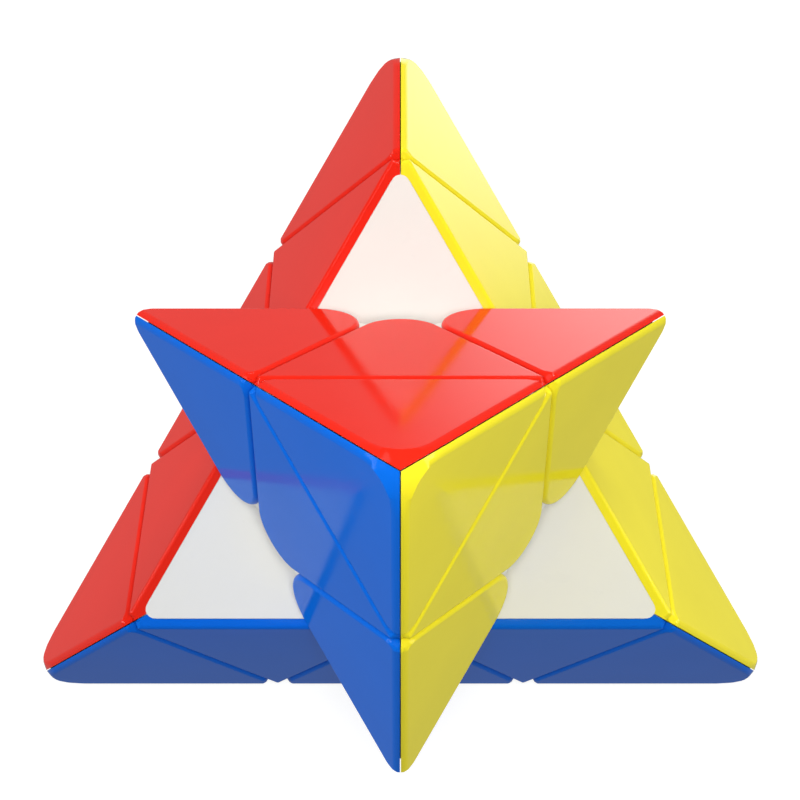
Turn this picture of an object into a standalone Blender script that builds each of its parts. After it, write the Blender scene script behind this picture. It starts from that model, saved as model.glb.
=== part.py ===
"""Pyramid twisty puzzle: four corner tips, four axial pieces and six edge pieces
around a sprung core. The top layer is stored turned by 60 degrees.

The origin is the centre of the core, where the four turning axes cross. +Z is the
top layer's axis, and the puzzle stands on its lower face, at -Z.

Pieces are modelled in millimetres and scaled to metres when each object is made.
"""

import math

import bmesh
import bpy
from mathutils import Matrix, Vector

# ---------------------------------------------------------------- dimensions, mm
EDGE = 98.0  # sharp edge length of the pyramid
HEIGHT = EDGE * math.sqrt(2.0 / 3.0)
FACE = HEIGHT / 4.0  # core centre to a face
VERTEX = HEIGHT * 3.0 / 4.0  # core centre to a sharp vertex
TIP_CUT = VERTEX - 0.3475 * HEIGHT  # core centre to the plane under a tip
LAYER_CUT = VERTEX - HEIGHT * 2.0 / 3.0  # core centre to the plane under a layer
TOP_LAYER_TURN = math.radians(-60.0)

MOVING_GAP = 0.4  # between pieces that turn past each other
FIXED_GAP = 0.3  # between a shell and its neighbour on the same piece

AXIAL_SHELL = 1.2  # thickness of the coloured shells
EDGE_SHELL = 1.6
TIP_SHELL = 2.2
EDGE_FILLET = 1.2  # along the pyramid's edges
SEAM_FILLET = 0.6  # along every seam
VERTEX_FILLET = 2.8  # at the pyramid's vertices
END_FILLET = 1.0  # at the other ends of tips and edge pieces
AXIAL_CORNER = 4.7  # corner of an axial facet at the middle of a face
EDGE_CORNER = 5.9  # corner of an edge facet at the middle of a face
AXIAL_SIDE_CORNER = 1.2  # corner of an axial facet on a pyramid edge
AXIAL_BODY_CORNER = 2.6  # the same corners on the white bodies, under the shells
EDGE_BODY_CORNER = 3.4
BODY_SETBACK = 0.8  # how far an axial body's side corner stands back from its shell's

HUB_R = 9.8
ARM_R, ARM_END = 4.0, 16.6
BORE_R, BORE_BOTTOM = 1.6, 5.5
FOOT_INNER, FOOT_OUTER, FOOT_CUT = 10.6, 13.8, 4.8
CAVITY_R = 14.5
COLLAR_R, COLLAR_START, COLLAR_BORE_R = 6.5, 10.2, 4.4
SHELF_LOW, SHELF_HIGH, SHELF_HOLE_R = 17.0, 19.0, 1.7
CHAMBER_R, CHAMBER_TOP = 5.2, 30.4
STEM_HOLE_R = 4.1
STEM_R, STEM_END = 3.8, 28.8
LIP_R, LIP_LOW, LIP_HIGH = 4.8, 29.0, 30.1
PLATE_TOP = TIP_CUT + 3.2
BOSS_R, BOSS_TOP = 3.2, 43.0
SHANK_R, SHANK_START = 1.3, 6.2
HEAD_R, HEAD_LOW, HEAD_HIGH = 3.6, 26.4, 28.4
RECESS_LONG, RECESS_WIDE, RECESS_DEEP = 4.4, 0.9, 1.2
SPRING_R, SPRING_WIRE, SPRING_TURNS = 2.9, 0.45, 3

CORNER_CUTS = 4  # facets round a corner
RIM_CUTS = 2  # facets across a fillet
ROUND = 20  # sides of a round piece

# ---------------------------------------------------------------- directions
SLOPE = math.sqrt(8.0) / 3.0
NAMES = ["top", "back", "left", "right"]
AXES = [Vector((0.0, 0.0, 1.0))] + [
    Vector((SLOPE * math.cos(a), SLOPE * math.sin(a), -1.0 / 3.0))
    for a in (math.radians(90), math.radians(210), math.radians(330))
]
COLOURS = ["green", "blue", "yellow", "red"]  # of the face opposite each vertex


def clear_scene():
    for obj in list(bpy.data.objects):
        bpy.data.objects.remove(obj, do_unlink=True)


# ---------------------------------------------------------------- solids by cutting
def carve(planes):
    """A closed convex solid: what is left of a block behind every (normal, distance) plane."""
    bm = bmesh.new()
    bmesh.ops.create_cube(bm, size=4.0 * EDGE)
    for normal, distance in planes:
        normal = normal.normalized()
        bmesh.ops.bisect_plane(
            bm,
            geom=bm.verts[:] + bm.edges[:] + bm.faces[:],
            dist=1e-5,
            plane_co=normal * distance,
            plane_no=normal,
            clear_outer=True,
        )
        rim = [e for e in bm.edges if e.is_boundary]
        if rim:
            bmesh.ops.holes_fill(bm, edges=rim, sides=0)
    bmesh.ops.dissolve_degenerate(bm, dist=1e-4, edges=bm.edges[:])
    bmesh.ops.recalc_face_normals(bm, faces=bm.faces[:])
    return bm


def between(a, b, t):
    """The direction a fraction t of the way round from a to b."""
    return a.slerp(b, t)


class Side:
    """One side of a facet: the plane it is cut by, and its line in the face."""

    def __init__(self, face, normal, distance):
        self.normal, self.distance = normal, distance
        out = -AXES[face]
        self.line = (normal - out * normal.dot(out)).normalized()
        centre = out * FACE
        self.offset = (distance - normal.dot(centre)) / normal.dot(self.line)


def fillet(out, level, side, radius, steps):
    """Planes that round the edge between the face (out, level) and the side's plane."""
    n = side.normal
    k = out.dot(n)
    a = ((level - radius) - k * (side.distance - radius)) / (1.0 - k * k)
    b = ((side.distance - radius) - k * (level - radius)) / (1.0 - k * k)
    axis = out * a + n * b
    found = []
    for t in steps:
        v = between(out, n, t)
        found.append((v, v.dot(axis) + radius))
    return found


def corner(face, first, second, radius, setback=0.0, rim=True):
    """Planes that round the corner between two sides of a facet."""
    out = -AXES[face]
    a, b = first.line, second.line
    k = a.dot(b)
    p = ((first.offset - radius) - k * (second.offset - radius)) / (1.0 - k * k)
    q = ((second.offset - radius) - k * (first.offset - radius)) / (1.0 - k * k)
    centre = out * FACE + a * p + b * q
    found = []
    for i in range(CORNER_CUTS):
        v = between(a, b, (i + 1) / (CORNER_CUTS + 1))
        found.append((v, v.dot(centre) + radius - setback))
        if rim:
            inner = centre + v * (radius - SEAM_FILLET) - out * SEAM_FILLET
            for s in range(RIM_CUTS):
                w = between(out, v, (s + 1) / (RIM_CUTS + 1))
                found.append((w, w.dot(inner) + SEAM_FILLET))
    return found


def vertex_planes(normals, distances, radius, towards):
    """Planes round the ball that fits in a vertex of three planes, one for each direction."""
    system = Matrix([list(n) for n in normals])
    centre = system.inverted() @ Vector([d - radius for d in distances])
    return [(v, v.dot(centre) + radius) for v in towards]


def facet(face, thickness, seams, mitres, corners, vertices, limits=()):
    """A coloured shell on one face of the pyramid. A mitre with no name has no rounded edge."""
    out = -AXES[face]
    planes = [(out, FACE), (-out, -(FACE - thickness))] + list(limits)
    sides = {}
    for name, normal, distance in seams:
        side = sides[name] = Side(face, normal, distance)
        planes.append((normal, distance))
        steps = [(s + 1) / (RIM_CUTS + 1) for s in range(RIM_CUTS)]
        planes += fillet(out, FACE, side, SEAM_FILLET, steps)
    for name, other in mitres:
        n = -AXES[other]
        if name:
            side = sides[name] = Side(face, n, FACE)
            planes += fillet(out, FACE, side, EDGE_FILLET, (0.25, 0.5))
        planes.append(((n - out).normalized(), -FIXED_GAP / 2.0))
    for a, b, radius in corners:
        planes += corner(face, sides[a], sides[b], radius)
    for normals, distances, radius, towards in vertices:
        planes += vertex_planes(normals, distances, radius, towards)
    return carve(planes)


# ---------------------------------------------------------------- scene objects
def mesh_object(name, bm, scale=1.0):
    if scale != 1.0:
        bmesh.ops.scale(bm, vec=(scale,) * 3, verts=bm.verts[:])
    mesh = bpy.data.meshes.new(name)
    bm.to_mesh(mesh)
    bm.free()
    obj = bpy.data.objects.new(name, mesh)
    bpy.context.scene.collection.objects.link(obj)
    return obj


def cylinder(radius, low, high, axis=None, segments=ROUND, radius_top=None):
    bm = bmesh.new()
    bmesh.ops.create_cone(
        bm,
        cap_ends=True,
        segments=segments,
        radius1=radius,
        radius2=radius if radius_top is None else radius_top,
        depth=high - low,
        matrix=Matrix.Translation((0, 0, (low + high) / 2.0)),
    )
    if axis is not None:
        turn = Vector((0, 0, 1)).rotation_difference(axis).to_matrix().to_4x4()
        bmesh.ops.transform(bm, matrix=turn, verts=bm.verts[:])
    return bm


def ball(radius, across=24, down=12):
    bm = bmesh.new()
    bmesh.ops.create_uvsphere(bm, u_segments=across, v_segments=down, radius=radius)
    return bm


def combine(base, steps):
    """The base cut or joined by each (operation, solid) in turn, as one new bmesh."""
    obj = mesh_object("work", base)
    tools = []
    for operation, solid in steps:
        tool = mesh_object("tool", solid)
        tools.append(tool)
        modifier = obj.modifiers.new(operation.lower(), "BOOLEAN")
        modifier.operation = operation
        modifier.solver = "EXACT"
        modifier.object = tool
    bpy.context.view_layer.update()
    graph = bpy.context.evaluated_depsgraph_get()
    mesh = bpy.data.meshes.new_from_object(obj.evaluated_get(graph))
    result = bmesh.new()
    result.from_mesh(mesh)
    bmesh.ops.remove_doubles(result, verts=result.verts[:], dist=1e-4)
    bmesh.ops.dissolve_degenerate(result, dist=1e-4, edges=result.edges[:])
    for made in [obj] + tools:
        bpy.data.objects.remove(made, do_unlink=True)
    bpy.data.meshes.remove(mesh)
    return result


# ---------------------------------------------------------------- the pieces
def tip_shell(face):
    """The top vertex's tip, the shell on one of its three faces."""
    top = AXES[0]
    others = [i for i in (1, 2, 3) if i != face]
    out = -AXES[face]
    level = -(TIP_CUT + MOVING_GAP / 2.0)
    ends = []
    for other in others:
        n = -AXES[other]
        ends.append(
            (
                [out, n, -top],
                [FACE, FACE, level],
                END_FILLET,
                [(out + n - top).normalized(), (out * 2 + n * 2 - top).normalized()],
            )
        )
    normals = [-AXES[1], -AXES[2], -AXES[3]]
    ridge = [
        (normals[0] + normals[1]).normalized(),
        (normals[1] + normals[2]).normalized(),
        (normals[2] + normals[0]).normalized(),
    ]
    towards = [top]
    towards += [between(top, n, 0.45) for n in normals]
    towards += [between(top, n, 0.5) for n in ridge]
    ends.append((normals, [FACE] * 3, VERTEX_FILLET, towards))
    return facet(
        face,
        TIP_SHELL,
        [("seam", -top, level)],
        [("m%d" % o, o) for o in others],
        [],
        ends,
    )


def axial_facet(face):
    top = AXES[0]
    others = [i for i in (1, 2, 3) if i != face]
    seams = [("top", top, TIP_CUT - MOVING_GAP / 2.0)]
    seams += [("s%d" % o, AXES[o], LAYER_CUT - MOVING_GAP / 2.0) for o in others]
    a, b = ("s%d" % o for o in others)
    return facet(
        face,
        AXIAL_SHELL,
        seams,
        [("", o) for o in others],
        [
            (a, b, AXIAL_CORNER),
            ("top", a, AXIAL_SIDE_CORNER),
            ("top", b, AXIAL_SIDE_CORNER),
        ],
        [],
    )


def edge_facet(face):
    """The edge piece between the top and back vertices, on face 2 or 3."""
    other = 5 - face
    level = -(LAYER_CUT + MOVING_GAP / 2.0)
    n = -AXES[other]
    out = -AXES[face]
    ends = []
    for low in (-AXES[0], -AXES[1]):
        ends.append(
            (
                [out, n, low],
                [FACE, FACE, level],
                END_FILLET,
                [(out + n + low).normalized(), (out * 2 + n * 2 + low).normalized()],
            )
        )
    return facet(
        face,
        EDGE_SHELL,
        [("a", -AXES[0], level), ("b", -AXES[1], level)],
        [("m", other)],
        [("a", "b", EDGE_CORNER)],
        ends,
        [(axis, TIP_CUT - MOVING_GAP / 2.0) for axis in (AXES[0], AXES[1])],
    )


def axial_body():
    top = AXES[0]
    inset = FACE - AXIAL_SHELL - FIXED_GAP
    planes = [
        (top, TIP_CUT - MOVING_GAP / 2.0),
        (-top, -(LAYER_CUT + MOVING_GAP / 2.0)),
    ]
    for i in (1, 2, 3):
        planes.append((AXES[i], LAYER_CUT - MOVING_GAP / 2.0))
        planes.append((-AXES[i], inset))
    for face in (1, 2, 3):
        a, b = [
            Side(face, AXES[o], LAYER_CUT - MOVING_GAP / 2.0)
            for o in (1, 2, 3)
            if o != face
        ]
        t = Side(face, top, TIP_CUT - MOVING_GAP / 2.0)
        planes += corner(face, a, b, AXIAL_BODY_CORNER, rim=False)
        for side in (a, b):
            edge = corner(face, t, side, AXIAL_SIDE_CORNER, BODY_SETBACK, rim=False)
            planes += [edge[1], edge[2]]
    return combine(
        carve(planes),
        [
            ("DIFFERENCE", ball(CAVITY_R, 28, 14)),
            ("UNION", cylinder(COLLAR_R, COLLAR_START, SHELF_LOW - 0.5)),
            ("DIFFERENCE", cylinder(COLLAR_BORE_R, COLLAR_START - 1.0, SHELF_LOW)),
            (
                "DIFFERENCE",
                cylinder(SHELF_HOLE_R, SHELF_LOW - 1.0, SHELF_HIGH + 1.0, segments=16),
            ),
            ("DIFFERENCE", cylinder(CHAMBER_R, SHELF_HIGH, CHAMBER_TOP)),
            ("DIFFERENCE", cylinder(STEM_HOLE_R, CHAMBER_TOP - 1.0, TIP_CUT + 1.0)),
        ],
    )


def edge_body():
    level = -(LAYER_CUT + MOVING_GAP / 2.0)
    inset = FACE - EDGE_SHELL - FIXED_GAP
    planes = [
        (-AXES[0], level),
        (-AXES[1], level),
        (-AXES[2], inset),
        (-AXES[3], inset),
        (AXES[0], TIP_CUT - MOVING_GAP / 2.0),
        (AXES[1], TIP_CUT - MOVING_GAP / 2.0),
    ]
    for face in (2, 3):
        a, b = Side(face, -AXES[0], level), Side(face, -AXES[1], level)
        planes += corner(face, a, b, EDGE_BODY_CORNER, rim=False)
    foot = ball(FOOT_OUTER)
    for normal in (-AXES[0], -AXES[1]):
        bmesh.ops.bisect_plane(
            foot,
            geom=foot.verts[:] + foot.edges[:] + foot.faces[:],
            dist=1e-5,
            plane_co=normal * -FOOT_CUT,
            plane_no=normal,
            clear_outer=True,
        )
        rim = [e for e in foot.edges if e.is_boundary]
        bmesh.ops.holes_fill(foot, edges=rim, sides=0)
    bmesh.ops.recalc_face_normals(foot, faces=foot.faces[:])
    foot = combine(foot, [("DIFFERENCE", ball(FOOT_INNER))])
    return combine(carve(planes), [("UNION", foot)])


def tip_base():
    top = AXES[0]
    inset = FACE - TIP_SHELL - FIXED_GAP
    planes = [(-top, -(TIP_CUT + MOVING_GAP / 2.0)), (top, PLATE_TOP)]
    planes += [(-AXES[i], inset) for i in (1, 2, 3)]
    for i, j in ((1, 2), (2, 3), (3, 1)):
        v = (-AXES[i] - AXES[j]).normalized()
        planes.append((v, v.dot(top) * TIP_CUT + 10.9))
    return combine(
        carve(planes),
        [
            ("UNION", cylinder(STEM_R, STEM_END, TIP_CUT + 1.0)),
            ("UNION", cylinder(LIP_R, LIP_LOW, LIP_HIGH)),
            ("UNION", cylinder(BOSS_R, TIP_CUT + 1.0, BOSS_TOP, segments=12)),
        ],
    )


def core():
    steps = [("UNION", cylinder(ARM_R, 2.0, ARM_END, axis)) for axis in AXES]
    steps += [
        ("DIFFERENCE", cylinder(BORE_R, BORE_BOTTOM, ARM_END + 1.0, axis, 12))
        for axis in AXES
    ]
    return combine(ball(HUB_R, 20, 10), steps)


def screw():
    def bar(long, wide):
        bm = bmesh.new()
        bmesh.ops.create_cube(
            bm,
            size=1.0,
            matrix=Matrix.Translation((0, 0, HEAD_HIGH))
            @ Matrix.Diagonal((long, wide, 2.0 * RECESS_DEEP, 1.0)),
        )
        return bm

    return combine(
        cylinder(SHANK_R, SHANK_START, HEAD_LOW + 0.5, segments=12),
        [
            ("UNION", cylinder(HEAD_R, HEAD_LOW, HEAD_HIGH)),
            ("DIFFERENCE", bar(RECESS_LONG, RECESS_WIDE)),
            ("DIFFERENCE", bar(RECESS_WIDE, RECESS_LONG)),
        ],
    )


def spring():
    """A coil between the shelf and the screw head, as a tube along a helix."""
    low = SHELF_HIGH + FIXED_GAP + SPRING_WIRE
    high = HEAD_LOW - FIXED_GAP - SPRING_WIRE
    count = 10 * SPRING_TURNS + 1
    curve = bpy.data.curves.new("coil", "CURVE")
    curve.dimensions = "3D"
    curve.bevel_depth = SPRING_WIRE
    curve.bevel_resolution = 2
    curve.use_fill_caps = True
    spline = curve.splines.new("POLY")
    spline.points.add(count - 1)
    for i in range(count):
        t = i / (count - 1)
        a = 2.0 * math.pi * SPRING_TURNS * t
        spline.points[i].co = (
            SPRING_R * math.cos(a),
            SPRING_R * math.sin(a),
            low + (high - low) * t,
            1.0,
        )
    obj = bpy.data.objects.new("coil", curve)
    bpy.context.scene.collection.objects.link(obj)
    bpy.context.view_layer.update()
    graph = bpy.context.evaluated_depsgraph_get()
    mesh = bpy.data.meshes.new_from_object(obj.evaluated_get(graph))
    bm = bmesh.new()
    bm.from_mesh(mesh)
    bmesh.ops.remove_doubles(bm, verts=bm.verts[:], dist=1e-4)
    bpy.data.objects.remove(obj, do_unlink=True)
    bpy.data.meshes.remove(mesh)
    return bm


# ---------------------------------------------------------------- materials
PAINT = {
    "red": ((0.72, 0.035, 0.022), 0.22, 0.0),
    "blue": ((0.018, 0.12, 0.56), 0.22, 0.0),
    "yellow": ((0.80, 0.72, 0.035), 0.22, 0.0),
    "green": ((0.02, 0.42, 0.08), 0.22, 0.0),
    "white": ((0.80, 0.79, 0.76), 0.35, 0.0),
    "core": ((0.045, 0.045, 0.05), 0.45, 0.0),
    "steel": ((0.55, 0.56, 0.58), 0.3, 1.0),
    "spring": ((0.62, 0.63, 0.65), 0.25, 1.0),
}


def material(name, kind):
    colour, roughness, metallic = PAINT[kind]
    made = bpy.data.materials.new(name)
    made.use_nodes = True
    shader = made.node_tree.nodes["Principled BSDF"]
    shader.inputs["Base Color"].default_value = (*colour, 1.0)
    shader.inputs["Roughness"].default_value = roughness
    shader.inputs["Metallic"].default_value = metallic
    return made


# ---------------------------------------------------------------- assembly
def half_turn(i, j):
    """The half turn that swaps vertices i and j, and the other two."""
    return Matrix.Rotation(math.pi, 4, (AXES[i] + AXES[j]).normalized())


def third_turns(times):
    """A turn about +Z that takes back to left to right."""
    return Matrix.Rotation(times * 2.0 * math.pi / 3.0, 4, "Z")


def image(turn, index):
    """The vertex, or the face opposite it, that a turn takes this one to."""
    moved = turn.to_3x3() @ AXES[index]
    return max(range(4), key=lambda i: moved.dot(AXES[i]))


def build():
    clear_scene()
    home = bpy.data.collections.new("pyramid_twisty_puzzle")
    bpy.context.scene.collection.children.link(home)

    def empty(name, parent=None, turn=0.0):
        made = bpy.data.objects.new(name, None)
        made.empty_display_size = 0.01
        made.rotation_euler = (0.0, 0.0, turn)
        made.parent = parent
        home.objects.link(made)
        return made

    frame = empty("frame_axis")
    top_layer = empty("top_layer_axis", frame, TOP_LAYER_TURN)
    tip_axes = {
        i: empty("tip_%s_axis" % NAMES[i], top_layer if i == 0 else frame)
        for i in range(4)
    }

    def add(name, template, kind, turn, parent, smooth=False):
        mesh = template.copy()
        mesh.name = name
        mesh.materials.append(material(name, kind))
        obj = bpy.data.objects.new(name, mesh)
        obj.rotation_mode = "QUATERNION"
        obj.rotation_quaternion = turn.to_quaternion()
        obj.parent = parent
        home.objects.link(obj)
        if smooth:
            mesh.shade_smooth()
            mesh.set_sharp_from_angle(angle=math.radians(35))

    def template(name, bm):
        obj = mesh_object(name, bm, scale=0.001)
        mesh = obj.data
        bpy.data.objects.remove(obj, do_unlink=True)
        return mesh

    tip_shells = {f: template("t", tip_shell(f)) for f in (1, 2, 3)}
    axial_facets = {f: template("t", axial_facet(f)) for f in (1, 2, 3)}
    edge_facets = {f: template("t", edge_facet(f)) for f in (2, 3)}
    a_body, e_body = template("t", axial_body()), template("t", edge_body())
    t_base, a_core = template("t", tip_base()), template("t", core())
    a_screw, a_spring = template("t", screw()), template("t", spring())

    add("core", a_core, "core", Matrix(), frame, smooth=True)

    for i in range(4):
        turn = Matrix() if i == 0 else half_turn(0, i)
        layer = top_layer if i == 0 else frame
        name = NAMES[i]
        add("axial_screw_" + name, a_screw, "steel", turn, frame, smooth=True)
        add("axial_spring_" + name, a_spring, "spring", turn, frame, smooth=True)
        add("axial_%s_body" % name, a_body, "white", turn, layer, smooth=True)
        add("tip_%s_base" % name, t_base, "white", turn, tip_axes[i], smooth=True)
        for face in (1, 2, 3):
            colour = COLOURS[image(turn, face)]
            add(
                "axial_%s_facet_%s" % (name, colour),
                axial_facets[face],
                colour,
                turn,
                layer,
            )
            add(
                "tip_%s_shell_%s" % (name, colour),
                tip_shells[face],
                colour,
                turn,
                tip_axes[i],
            )

    for turn, layer in (
        (third_turns(0), top_layer),
        (third_turns(1), top_layer),
        (third_turns(2), top_layer),
        (half_turn(0, 1) @ third_turns(1), frame),
        (half_turn(0, 1) @ third_turns(2), frame),
        (half_turn(0, 2), frame),
    ):
        colours = {face: COLOURS[image(turn, face)] for face in (2, 3)}
        name = "edge_" + "_".join(sorted(colours.values()))
        add(name + "_body", e_body, "white", turn, layer, smooth=True)
        for face, colour in colours.items():
            add("%s_facet_%s" % (name, colour), edge_facets[face], colour, turn, layer)


build()
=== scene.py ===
"""Looks for the pyramid twisty puzzle: fine shells and bodies, materials, camera and light."""

import math

import bmesh
import bpy
from mathutils import Matrix, Vector


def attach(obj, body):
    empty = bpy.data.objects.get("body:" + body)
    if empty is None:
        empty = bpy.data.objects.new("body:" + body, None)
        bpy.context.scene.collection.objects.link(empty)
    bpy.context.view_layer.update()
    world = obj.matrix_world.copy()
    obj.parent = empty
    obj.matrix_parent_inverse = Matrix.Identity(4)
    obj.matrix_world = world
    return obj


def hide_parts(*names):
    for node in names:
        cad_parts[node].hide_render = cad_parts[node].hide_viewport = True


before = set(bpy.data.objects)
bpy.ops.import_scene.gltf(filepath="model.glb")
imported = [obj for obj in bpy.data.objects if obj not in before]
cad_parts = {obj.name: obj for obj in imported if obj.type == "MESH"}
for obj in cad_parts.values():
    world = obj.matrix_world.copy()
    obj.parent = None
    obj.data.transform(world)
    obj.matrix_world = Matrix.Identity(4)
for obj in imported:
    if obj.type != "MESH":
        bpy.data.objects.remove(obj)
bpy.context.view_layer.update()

# ---------------------------------------------------------------- dimensions, mm
EDGE = 98.0
HEIGHT = EDGE * math.sqrt(2.0 / 3.0)
FACE = HEIGHT / 4.0
VERTEX = HEIGHT * 3.0 / 4.0
TIP_CUT = VERTEX - 0.3475 * HEIGHT
LAYER_CUT = VERTEX - HEIGHT * 2.0 / 3.0
TURN = math.radians(-60.0)

SEAM = 0.07  # each piece stands back this far from a cut plane
MITRE = 0.12
AXIAL_SHELL, EDGE_SHELL, TIP_SHELL = 1.08, 1.6, 2.2
BODY_GAP = 0.03
EDGE_FILLET = 1.2
SEAM_FILLET = 0.62
VERTEX_FILLET = 2.7
END_FILLET = 1.2
AXIAL_CORNER = 4.7
EDGE_CORNER = 5.9
AXIAL_SIDE_CORNER = 0.5
AXIAL_BODY_CORNER = 2.7
EDGE_BODY_CORNER = 3.5
BODY_RIDGE = 1.25  # rounds the white corners under the pyramid's edges
RIDGE_DEPTH = 3.4

CAVITY_R = 14.5
COLLAR_R, COLLAR_START, COLLAR_BORE_R = 6.5, 10.2, 4.4
SHELF_LOW, SHELF_HIGH, SHELF_HOLE_R = 17.0, 19.0, 1.7
CHAMBER_R, CHAMBER_TOP, STEM_HOLE_R = 5.2, 30.4, 4.1
FOOT_INNER, FOOT_OUTER, FOOT_CUT = 10.6, 13.8, 4.8
STEM_R, STEM_END = 3.8, 28.8
LIP_R, LIP_LOW, LIP_HIGH = 4.8, 29.0, 30.1
PLATE_TOP = TIP_CUT + 3.2
BOSS_R, BOSS_TOP = 3.2, 43.0

RIM_STEPS = 6
CORNER_STEPS = 18
BALL_STEPS = 8

SLOPE = math.sqrt(8.0) / 3.0
NAMES = ["top", "back", "left", "right"]
AXES = [Vector((0.0, 0.0, 1.0))] + [
    Vector((SLOPE * math.cos(a), SLOPE * math.sin(a), -1.0 / 3.0))
    for a in (math.radians(90), math.radians(210), math.radians(330))
]
COLOURS = ["green", "blue", "yellow", "red"]


# ---------------------------------------------------------------- solids by cutting
def carve(planes):
    """What is left of a block behind every (normal, distance) plane."""
    bm = bmesh.new()
    bmesh.ops.create_cube(bm, size=4.0 * EDGE)
    for normal, distance in planes:
        length = normal.length
        normal, distance = normal / length, distance / length
        if all(v.co.dot(normal) <= distance + 1e-4 for v in bm.verts):
            continue
        bmesh.ops.bisect_plane(
            bm,
            geom=bm.verts[:] + bm.edges[:] + bm.faces[:],
            dist=1e-5,
            plane_co=normal * distance,
            plane_no=normal,
            clear_outer=True,
        )
        rim = [e for e in bm.edges if e.is_boundary]
        if rim:
            bmesh.ops.holes_fill(bm, edges=rim, sides=0)
    bmesh.ops.remove_doubles(bm, verts=bm.verts[:], dist=2e-4)
    bmesh.ops.recalc_face_normals(bm, faces=bm.faces[:])
    return bm


def spread(steps, low=0.0, high=1.0):
    return [low + (high - low) * (i + 0.5) / steps for i in range(steps)]


def round_edge(a, level_a, b, level_b, radius, steps):
    """Planes that round the edge between two planes."""
    k = a.dot(b)
    p = ((level_a - radius) - k * (level_b - radius)) / (1.0 - k * k)
    q = ((level_b - radius) - k * (level_a - radius)) / (1.0 - k * k)
    axis = a * p + b * q
    return [(v, v.dot(axis) + radius) for v in (a.slerp(b, t) for t in steps)]


def line_in(out, normal, distance):
    """A cut plane's outward direction in the face, and how far along it the cut is."""
    line = (normal - out * normal.dot(out)).normalized()
    return line, (distance - normal.dot(out * FACE)) / normal.dot(line)


def round_corner(out, first, second, radius, rim, level=FACE, steps=None):
    """Planes that round a facet's corner between two cuts with the same slant, wall and rim."""
    a, ca = line_in(out, *first)
    b, cb = line_in(out, *second)
    k = a.dot(b)
    p = ((ca - radius) - k * (cb - radius)) / (1.0 - k * k)
    q = ((cb - radius) - k * (ca - radius)) / (1.0 - k * k)
    centre = out * FACE + a * p + b * q
    slant_a, slant_b = first[0].dot(out), second[0].dot(out)
    found = []
    for t in spread(steps or CORNER_STEPS):
        v = a.slerp(b, t)
        slant = slant_a + (slant_b - slant_a) * t
        wall = (v * math.sqrt(1.0 - slant * slant) + out * slant).normalized()
        reach = wall.dot(centre + v * radius)
        found.append((wall, reach))
        if rim:
            found += round_edge(out, level, wall, reach, rim, spread(RIM_STEPS))
    return found


def round_vertex(planes, radii, radius, steps):
    """Planes round the vertex of three planes: radii are those of the edges ab, bc and ca."""
    (a, _), (b, _), (c, _) = planes
    system = Matrix([list(n) for n, _ in planes]).inverted()
    point = system @ Vector([d for _, d in planes])
    inward = system @ Vector((1.0, 1.0, 1.0))
    found = []
    for i in range(1, steps):
        for j in range(1, steps - i):
            x, y = i / steps, j / steps
            z = 1.0 - x - y
            v = (a * x + b * y + c * z).normalized()
            base = (x * y * radii[0] + y * z * radii[1] + z * x * radii[2]) / (
                x * y + y * z + z * x
            )
            r = base + (radius - base) * (27.0 * x * y * z) ** 0.55
            found.append((v, v.dot(point) - r * (v.dot(inward) - 1.0)))
    return found


def shell_planes(face, thickness, seams, mitres):
    out = -AXES[face]
    planes = [(out, FACE), (-out, -(FACE - thickness))]
    for normal, distance in seams:
        planes.append((normal, distance))
        planes += round_edge(
            out, FACE, normal, distance, SEAM_FILLET, spread(RIM_STEPS)
        )
    for other, rounded in mitres:
        n = -AXES[other]
        if rounded:
            planes += round_edge(
                out, FACE, n, FACE, EDGE_FILLET, spread(2 * RIM_STEPS)[: RIM_STEPS + 1]
            )
        planes.append(((n - out).normalized(), -MITRE / 2.0))
    return planes


def tip_shell():
    """The top tip's shell on face 1."""
    low = (-AXES[0], -(TIP_CUT + SEAM))
    planes = shell_planes(1, TIP_SHELL, [low], [(2, True), (3, True)])
    out = (-AXES[1], FACE)
    for other in (2, 3):
        planes += round_vertex(
            [out, (-AXES[other], FACE), low],
            (EDGE_FILLET, SEAM_FILLET, SEAM_FILLET),
            END_FILLET,
            BALL_STEPS,
        )
    planes += round_vertex(
        [out, (-AXES[2], FACE), (-AXES[3], FACE)],
        (EDGE_FILLET,) * 3,
        VERTEX_FILLET,
        BALL_STEPS + 3,
    )
    return planes


def axial_shell():
    """The top axial piece's shell on face 1."""
    out = -AXES[1]
    top = (AXES[0], TIP_CUT - SEAM)
    a, b = (AXES[2], LAYER_CUT - SEAM), (AXES[3], LAYER_CUT - SEAM)
    planes = shell_planes(1, AXIAL_SHELL, [top, a, b], [(2, True), (3, True)])
    planes += round_corner(out, a, b, AXIAL_CORNER, SEAM_FILLET)
    for side in (a, b):
        planes += round_corner(
            out, top, side, AXIAL_SIDE_CORNER, 0.4, steps=CORNER_STEPS // 2
        )
    return planes


def axial_corner(other, cut):
    """What fills an axial shell's inner corner, between the rim on a cut plane and the mitre."""
    out, n = -AXES[1], -AXES[other]
    edge = (out + n).normalized()
    level = FACE / edge.dot(out)
    return [
        (out, FACE - 0.9),
        ((n - out).normalized(), -MITRE / 2.0),
        (AXES[0], TIP_CUT - SEAM - 0.01),
        (AXES[cut], LAYER_CUT - SEAM),
        (-AXES[cut], -(LAYER_CUT - SEAM - 2.0)),
        (-edge, -(level - RIDGE_DEPTH)),
    ]


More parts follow.
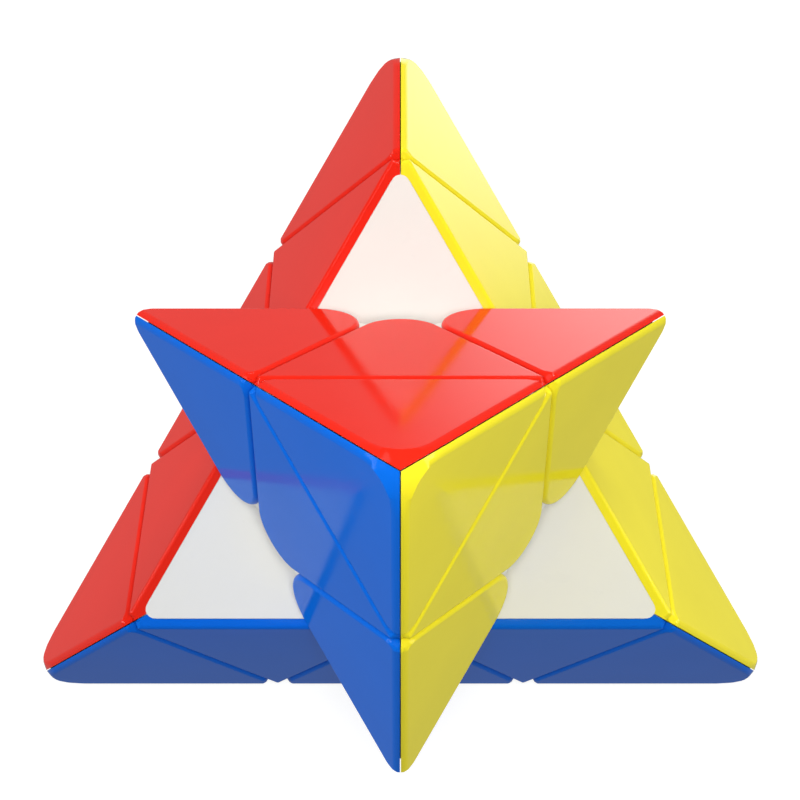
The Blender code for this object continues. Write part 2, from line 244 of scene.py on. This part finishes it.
def edge_shell():
    """The shell on face 2 of the edge piece between the top and back vertices."""
    out = -AXES[2]
    a, b = (-AXES[0], -(LAYER_CUT + SEAM)), (-AXES[1], -(LAYER_CUT + SEAM))
    planes = shell_planes(2, EDGE_SHELL, [a, b], [(3, True)])
    planes += round_corner(out, a, b, EDGE_CORNER, SEAM_FILLET)
    planes += [(axis, TIP_CUT - SEAM) for axis in (AXES[0], AXES[1])]
    for side in (a, b):
        planes += round_vertex(
            [(out, FACE), (-AXES[3], FACE), side],
            (EDGE_FILLET, SEAM_FILLET, SEAM_FILLET),
            END_FILLET,
            BALL_STEPS,
        )
    return planes


# ---------------------------------------------------------------- booleans
def work_object(bm, name="work"):
    mesh = bpy.data.meshes.new(name)
    bm.to_mesh(mesh)
    bm.free()
    obj = bpy.data.objects.new(name, mesh)
    bpy.context.scene.collection.objects.link(obj)
    return obj


def cylinder(radius, low, high, segments=64):
    bm = bmesh.new()
    bmesh.ops.create_cone(
        bm,
        cap_ends=True,
        segments=segments,
        radius1=radius,
        radius2=radius,
        depth=high - low,
        matrix=Matrix.Translation((0, 0, (low + high) / 2.0)),
    )
    return bm


def ball(radius, across=64, down=32):
    bm = bmesh.new()
    bmesh.ops.create_uvsphere(bm, u_segments=across, v_segments=down, radius=radius)
    return bm


def combine(base, steps):
    obj = work_object(base)
    tools = []
    for operation, solid in steps:
        tool = work_object(solid, "tool")
        tools.append(tool)
        modifier = obj.modifiers.new(operation.lower(), "BOOLEAN")
        modifier.operation = operation
        modifier.solver = "EXACT"
        modifier.object = tool
    bpy.context.view_layer.update()
    graph = bpy.context.evaluated_depsgraph_get()
    mesh = bpy.data.meshes.new_from_object(obj.evaluated_get(graph))
    result = bmesh.new()
    result.from_mesh(mesh)
    bmesh.ops.remove_doubles(result, verts=result.verts[:], dist=2e-4)
    for made in [obj] + tools:
        bpy.data.objects.remove(made, do_unlink=True)
    bpy.data.meshes.remove(mesh)
    return result


def body_rounding(pairs, radius):
    found = []
    for (a, da), (b, db) in pairs:
        found += round_edge(a, da, b, db, radius, spread(3))
    return found


def white_faces():
    """The axial body's sides under the shells, with the rounded edges between them."""
    faces = {i: (-AXES[i], FACE - AXIAL_SHELL - BODY_GAP) for i in (1, 2, 3)}
    planes = list(faces.values())
    for i, j in ((1, 2), (2, 3), (3, 1)):
        planes += round_edge(*faces[i], *faces[j], BODY_RIDGE, spread(CORNER_STEPS // 2))
    return planes


def axial_body():
    top = (AXES[0], TIP_CUT - SEAM)
    low = (-AXES[0], -(LAYER_CUT + SEAM))
    sides = {i: (AXES[i], LAYER_CUT - SEAM) for i in (1, 2, 3)}
    faces = {i: (-AXES[i], FACE - AXIAL_SHELL - BODY_GAP) for i in (1, 2, 3)}
    planes = [top, low] + list(sides.values()) + list(faces.values())
    pairs = [(top, faces[i]) for i in faces] + [(low, sides[i]) for i in sides]
    pairs += [(sides[i], faces[j]) for i in sides for j in faces if i != j]
    planes += body_rounding(pairs, 0.12)
    planes += white_faces()[3:]
    for face in (1, 2, 3):
        out = -AXES[face]
        a, b = [sides[i] for i in sides if i != face]
        planes += round_corner(out, a, b, AXIAL_BODY_CORNER, 0.12, FACE - AXIAL_SHELL - BODY_GAP)
        for side in (a, b):
            planes += round_corner(
                out, top, side, AXIAL_SIDE_CORNER, 0.12, FACE - AXIAL_SHELL - BODY_GAP, 8
            )
    return combine(
        carve(planes),
        [
            ("DIFFERENCE", ball(CAVITY_R)),
            ("UNION", cylinder(COLLAR_R, COLLAR_START, SHELF_LOW - 0.5)),
            ("DIFFERENCE", cylinder(COLLAR_BORE_R, COLLAR_START - 1.0, SHELF_LOW)),
            ("DIFFERENCE", cylinder(SHELF_HOLE_R, SHELF_LOW - 1.0, SHELF_HIGH + 1.0)),
            ("DIFFERENCE", cylinder(CHAMBER_R, SHELF_HIGH, CHAMBER_TOP)),
            ("DIFFERENCE", cylinder(STEM_HOLE_R, CHAMBER_TOP - 1.0, TIP_CUT + 1.0)),
        ],
    )


def edge_body():
    a, b = (-AXES[0], -(LAYER_CUT + SEAM)), (-AXES[1], -(LAYER_CUT + SEAM))
    faces = [(-AXES[2], FACE - EDGE_SHELL - BODY_GAP), (-AXES[3], FACE - EDGE_SHELL - BODY_GAP)]
    planes = [a, b] + faces + [(axis, TIP_CUT - SEAM) for axis in (AXES[0], AXES[1])]
    planes += body_rounding([(s, f) for s in (a, b) for f in faces], 0.12)
    for face in (2, 3):
        planes += round_corner(
            -AXES[face], a, b, EDGE_BODY_CORNER, 0.12, FACE - EDGE_SHELL - BODY_GAP
        )
    foot = ball(FOOT_OUTER)
    for normal in (-AXES[0], -AXES[1]):
        bmesh.ops.bisect_plane(
            foot,
            geom=foot.verts[:] + foot.edges[:] + foot.faces[:],
            dist=1e-5,
            plane_co=normal * -FOOT_CUT,
            plane_no=normal,
            clear_outer=True,
        )
        bmesh.ops.holes_fill(
            foot, edges=[e for e in foot.edges if e.is_boundary], sides=0
        )
    bmesh.ops.recalc_face_normals(foot, faces=foot.faces[:])
    foot = combine(foot, [("DIFFERENCE", ball(FOOT_INNER))])
    return combine(carve(planes), [("UNION", foot)])


def tip_base():
    low = (-AXES[0], -(TIP_CUT + SEAM))
    faces = [(-AXES[i], FACE - TIP_SHELL - BODY_GAP) for i in (1, 2, 3)]
    planes = [low, (AXES[0], PLATE_TOP)] + faces
    planes += body_rounding([(low, f) for f in faces], 0.12)
    for i, j in ((1, 2), (2, 3), (3, 1)):
        v = (-AXES[i] - AXES[j]).normalized()
        planes.append((v, v.dot(AXES[0]) * TIP_CUT + 10.9))
        planes += round_edge(
            v, planes[-1][1], faces[i - 1][0], faces[i - 1][1], 1.0, spread(4)
        )
        planes += round_edge(
            v, planes[-5][1], faces[j - 1][0], faces[j - 1][1], 1.0, spread(4)
        )
    return combine(
        carve(planes),
        [
            ("UNION", cylinder(STEM_R, STEM_END, TIP_CUT + 1.0)),
            ("UNION", cylinder(LIP_R, LIP_LOW, LIP_HIGH)),
            ("UNION", cylinder(BOSS_R, TIP_CUT + 1.0, BOSS_TOP)),
        ],
    )


# ---------------------------------------------------------------- materials
class Nodes:
    def __init__(self, name):
        self.material = bpy.data.materials.new(name)
        self.material.use_nodes = True
        self.tree = self.material.node_tree
        self.shader = self.tree.nodes["Principled BSDF"]
        self.coords = self.tree.nodes.new("ShaderNodeTexCoord")

    def add(self, kind, **values):
        node = self.tree.nodes.new(kind)
        for key, value in values.items():
            if hasattr(node, key):
                setattr(node, key, value)
            else:
                node.inputs[key.replace("_", " ").title()].default_value = value
        return node

    def link(self, a, b):
        self.tree.links.new(a, b)

    def noise(self, scale, detail=2.0, roughness=0.5):
        node = self.add("ShaderNodeTexNoise")
        node.inputs["Scale"].default_value = scale
        node.inputs["Detail"].default_value = detail
        node.inputs["Roughness"].default_value = roughness
        self.link(self.coords.outputs["Object"], node.inputs["Vector"])
        return node

    def ranged(self, source, low, high):
        node = self.add("ShaderNodeMapRange")
        node.inputs["From Min"].default_value = 0.3
        node.inputs["From Max"].default_value = 0.7
        node.inputs["To Min"].default_value = low
        node.inputs["To Max"].default_value = high
        self.link(source, node.inputs["Value"])
        return node.outputs["Result"]


def plastic(name, colour, roughness, spread_by, bump, ior=1.2):
    """Moulded plastic: a slight flow mottle in the colour, uneven gloss and a faint orange peel."""
    n = Nodes(name)
    shader = n.shader.inputs
    mottle = n.noise(90.0, 3.0)
    tint = n.add("ShaderNodeMix", data_type="RGBA")
    tint.inputs["A"].default_value = (*[c * (1.0 - spread_by) for c in colour], 1.0)
    tint.inputs["B"].default_value = (
        *[min(1.0, c * (1.0 + spread_by)) for c in colour],
        1.0,
    )
    n.link(n.ranged(mottle.outputs["Fac"], 0.0, 1.0), tint.inputs["Factor"])
    n.link(tint.outputs["Result"], shader["Base Color"])
    handled = n.noise(220.0, 4.0, 0.6)
    n.link(
        n.ranged(handled.outputs["Fac"], roughness * 0.85, roughness * 1.2),
        shader["Roughness"],
    )
    peel = n.noise(900.0, 2.0)
    fine = n.add("ShaderNodeBump")
    fine.inputs["Strength"].default_value = bump
    fine.inputs["Distance"].default_value = 0.00002
    n.link(peel.outputs["Fac"], fine.inputs["Height"])
    n.link(fine.outputs["Normal"], shader["Normal"])
    shader["IOR"].default_value = ior
    return n.material


def metal(name, colour, roughness):
    n = Nodes(name)
    shader = n.shader.inputs
    shader["Metallic"].default_value = 1.0
    brushed = n.noise(500.0, 3.0)
    tint = n.add("ShaderNodeMix", data_type="RGBA")
    tint.inputs["A"].default_value = (*[c * 0.85 for c in colour], 1.0)
    tint.inputs["B"].default_value = (*colour, 1.0)
    n.link(n.ranged(brushed.outputs["Fac"], 0.0, 1.0), tint.inputs["Factor"])
    n.link(tint.outputs["Result"], shader["Base Color"])
    n.link(
        n.ranged(brushed.outputs["Fac"], roughness * 0.7, roughness * 1.4),
        shader["Roughness"],
    )
    return n.material


LOOKS = {
    "red": plastic("glossy_red", (0.7658, 0.0178, 0.0067), 0.10, 0.02, 0.15, 1.19),
    "blue": plastic("glossy_blue", (0.0026, 0.1320, 0.6600), 0.10, 0.02, 0.15, 1.13),
    "yellow": plastic("glossy_yellow", (0.8711, 0.7572, 0.0213), 0.10, 0.02, 0.15),
    "green": plastic("glossy_green", (0.012, 0.42, 0.07), 0.10, 0.02, 0.15),
    "white": plastic("satin_white", (0.7750, 0.7680, 0.7150), 0.30, 0.015, 0.3),
    "core": plastic("satin_black", (0.03, 0.03, 0.034), 0.40, 0.1, 0.5),
    "screw": metal("machined_steel", (0.56, 0.57, 0.60), 0.28),
    "spring": metal("spring_steel", (0.62, 0.63, 0.65), 0.22),
}


# ---------------------------------------------------------------- assembly
def half_turn(i, j):
    return Matrix.Rotation(math.pi, 4, (AXES[i] + AXES[j]).normalized())


def third_turns(times):
    return Matrix.Rotation(times * 2.0 * math.pi / 3.0, 4, "Z")


def image(turn, index):
    moved = turn.to_3x3() @ AXES[index]
    return max(range(4), key=lambda i: moved.dot(AXES[i]))


def template(bm, sharp):
    bmesh.ops.scale(bm, vec=(0.001,) * 3, verts=bm.verts[:])
    mesh = bpy.data.meshes.new("template")
    bm.to_mesh(mesh)
    bm.free()
    mesh.shade_smooth()
    mesh.set_sharp_from_angle(angle=math.radians(sharp))
    return mesh


def place(source, turn, node, slot, body, name):
    mesh = source.copy()
    mesh.name = name
    layer = Matrix.Rotation(TURN, 4, "Z") if body in ("top_layer", "tip_top") else None
    mesh.transform(turn if layer is None else layer @ turn)
    mesh.materials.append(LOOKS[slot])
    obj = bpy.data.objects.new(name, mesh)
    bpy.context.scene.collection.objects.link(obj)
    weighted = obj.modifiers.new("weighted_normals", "WEIGHTED_NORMAL")
    weighted.keep_sharp = True
    weighted.weight = 60
    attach(obj, body)
    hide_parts(node)
    return obj


tip_mesh = template(carve(tip_shell()), 28)
axial_mesh = template(
    combine(
        carve(axial_shell()),
        [
            ("UNION", carve(axial_corner(2, 3))),
            ("UNION", carve(axial_corner(3, 2))),
            ("DIFFERENCE", carve(white_faces())),
        ],
    ),
    28,
)
edge_mesh = template(carve(edge_shell()), 28)
axial_white = template(axial_body(), 35)
edge_white = template(edge_body(), 35)
tip_white = template(tip_base(), 35)

for i in range(4):
    turn = Matrix.Identity(4) if i == 0 else half_turn(0, i)
    layer = "top_layer" if i == 0 else "frame"
    name = NAMES[i]
    place(axial_white, turn, f"axial_{name}_body", "white", layer, f"axial_{name}_inner")
    place(tip_white, turn, f"tip_{name}_base", "white", f"tip_{name}", f"tip_{name}_inner")
    for times in range(3):
        spun = turn @ third_turns(times)
        colour = COLOURS[image(spun, 1)]
        place(
            axial_mesh,
            spun,
            f"axial_{name}_facet_{colour}",
            colour,
            layer,
            f"axial_{name}_{colour}",
        )
        place(
            tip_mesh,
            spun,
            f"tip_{name}_shell_{colour}",
            colour,
            f"tip_{name}",
            f"tip_{name}_{colour}",
        )

for turn, layer in (
    (third_turns(0), "top_layer"),
    (third_turns(1), "top_layer"),
    (third_turns(2), "top_layer"),
    (half_turn(0, 1) @ third_turns(1), "frame"),
    (half_turn(0, 1) @ third_turns(2), "frame"),
    (half_turn(0, 2), "frame"),
):
    pair = "_".join(sorted(COLOURS[image(turn, face)] for face in (2, 3)))
    place(edge_white, turn, f"edge_{pair}_body", "white", layer, f"edge_{pair}_inner")
    for face in (2, 3):
        colour = COLOURS[image(turn, face)]
        spun = turn if face == 2 else turn @ half_turn(0, 1)
        place(
            edge_mesh,
            spun,
            f"edge_{pair}_facet_{colour}",
            colour,
            layer,
            f"edge_{pair}_{colour}",
        )

for name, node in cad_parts.items():
    slot = (
        "core"
        if name == "core"
        else "screw"
        if name.startswith("axial_screw")
        else "spring"
        if name.startswith("axial_spring")
        else None
    )
    if slot:
        node.data.materials.clear()
        node.data.materials.append(LOOKS[slot])

# ---------------------------------------------------------------- stage and camera
FLOOR = -FACE / 1000.0

white = Nodes("pale_floor")
white.shader.inputs["Base Color"].default_value = (0.35, 0.35, 0.35, 1.0)
white.shader.inputs["Roughness"].default_value = 1.0
white.shader.inputs["Specular IOR Level"].default_value = 0.0
white.shader.inputs["Emission Color"].default_value = (1.0, 1.0, 1.0, 1.0)
white.shader.inputs["Emission Strength"].default_value = 0.8


def staged(name, bm, material):
    mesh = bpy.data.meshes.new(name)
    bm.to_mesh(mesh)
    bm.free()
    mesh.materials.append(material)
    obj = bpy.data.objects.new(name, mesh)
    bpy.context.scene.collection.objects.link(obj)
    obj.visible_glossy = False
    obj.visible_diffuse = False
    return obj


grid = bmesh.new()
bmesh.ops.create_grid(grid, x_segments=1, y_segments=1, size=3.0)
floor = staged("floor", grid, white.material)
floor.location.z = FLOOR - 0.0002

pale = Nodes("pale_backdrop")
pale.shader.inputs["Base Color"].default_value = (0.0, 0.0, 0.0, 1.0)
pale.shader.inputs["Specular IOR Level"].default_value = 0.0
pale.shader.inputs["Emission Color"].default_value = (1.0, 1.0, 1.0, 1.0)
pale.shader.inputs["Emission Strength"].default_value = 1.0
dome = bmesh.new()
bmesh.ops.create_uvsphere(dome, u_segments=48, v_segments=24, radius=2.9)
backdrop = staged("backdrop", dome, pale.material)
backdrop.visible_shadow = False

camera_data = bpy.data.cameras.new("camera")
camera = bpy.data.objects.new("camera", camera_data)
bpy.context.scene.collection.objects.link(camera)
camera.location = (0.0, 0.002, FLOOR + 0.3062)
camera_data.sensor_width = 36.0
camera_data.lens = 107.4
camera_data.shift_x = -0.0005
camera_data.shift_y = 0.0630
camera_data.clip_start = 0.01
bpy.context.scene.camera = camera
bpy.context.scene.view_settings.view_transform = "Standard"


def softbox(name, azimuth, elevation, distance, size, watts, colour=(1.0, 1.0, 1.0)):
    data = bpy.data.lights.new(name, "AREA")
    data.shape = "RECTANGLE"
    data.size, data.size_y = size
    data.energy = watts
    data.color = colour
    light = bpy.data.objects.new(name, data)
    a, e = math.radians(azimuth), math.radians(elevation)
    spot = Vector(
        (math.cos(a) * math.cos(e), math.sin(a) * math.cos(e), math.sin(e))
    )
    light.location = spot * distance
    light.rotation_mode = "QUATERNION"
    light.rotation_quaternion = spot.to_track_quat("Z", "Y")
    light.visible_camera = False
    bpy.context.scene.collection.objects.link(light)
    return light


# Soft lights round the object, clear of the planes its edges lie in: (azimuth, elevation, watts)
for azimuth, elevation, watts in (
    (75, 12, 1.80),
    (15, 12, 1.586),
    (165, 12, 1.553),
    (135, 40, 0.748),
    (165, 40, 0.304),
    (15, 40, 0.036),
):
    softbox(f"soft_{azimuth}_{elevation}", azimuth, elevation, 0.7, (0.25, 0.25), watts)

# A small soft light close above, which makes the raised top corner brighter than the rest.
softbox("soft_above", 0, 89, 0.2, (0.06, 0.06), 0.173)

# An even studio surround, with one soft white card low down beyond the back right.
world = bpy.data.worlds.new("studio")
bpy.context.scene.world = world
world.use_nodes = True
tree = world.node_tree
background = tree.nodes["Background"]
direction = tree.nodes.new("ShaderNodeTexCoord")
towards = tree.nodes.new("ShaderNodeVectorMath")
towards.operation = "DOT_PRODUCT"
towards.inputs[1].default_value = Vector((0.27, 0.50, -0.82)).normalized()
card = tree.nodes.new("ShaderNodeMapRange")
card.interpolation_type = "SMOOTHSTEP"
card.inputs["From Min"].default_value = math.cos(math.radians(18.5))
card.inputs["From Max"].default_value = math.cos(math.radians(9.0))
card.inputs["To Min"].default_value = 0.38
card.inputs["To Max"].default_value = 2.5
tree.links.new(direction.outputs["Generated"], towards.inputs[0])
tree.links.new(towards.outputs["Value"], card.inputs["Value"])
tree.links.new(card.outputs["Result"], background.inputs["Strength"])
background.inputs["Color"].default_value = (1.0, 1.0, 1.0, 1.0)

bpy.context.view_layer.update()
